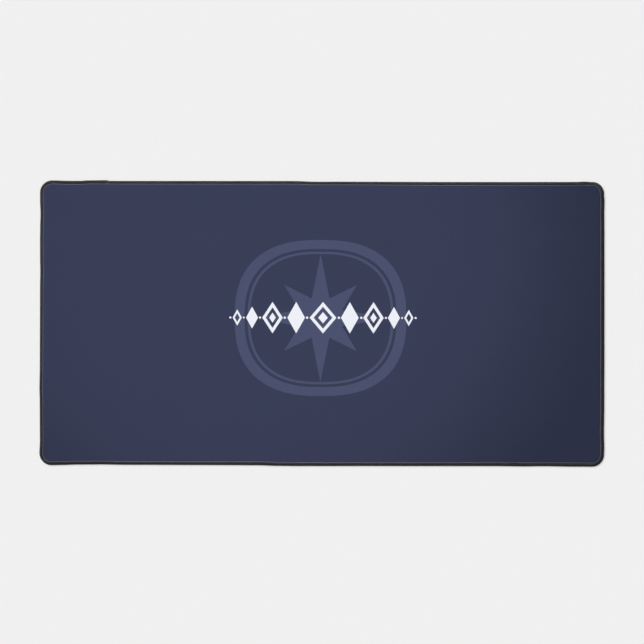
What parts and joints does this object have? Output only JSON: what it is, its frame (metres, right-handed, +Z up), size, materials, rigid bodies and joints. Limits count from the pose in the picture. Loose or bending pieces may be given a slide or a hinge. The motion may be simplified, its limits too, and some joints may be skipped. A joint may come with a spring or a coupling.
{
  "type": "desk mat",
  "caption": "Flat rounded-corner desk mat: a printed cloth face bonded to a non-slip foam rubber base, its edge finished with an overlocked thread border.",
  "frame": {"origin": "middle of the mat's footprint, on the desk it lies on", "axes": "+X along the long side, +Y towards the back edge, +Z up out of the cloth"},
  "size_m": [0.8, 0.4036, 0.0033],
  "materials": {
    "printed_cloth": "matte",
    "hot_melt_film": "satin",
    "foam_rubber": "matte",
    "needle_thread": "matte",
    "looper_thread": "matte"
  },
  "bodies": {
    "root": {"top_cloth": "printed_cloth", "bond_film": "hot_melt_film", "rubber_base": "foam_rubber", "needle_thread": "needle_thread", "upper_looper_thread": "looper_thread", "lower_looper_thread": "looper_thread"}
  },
  "joints": []
}
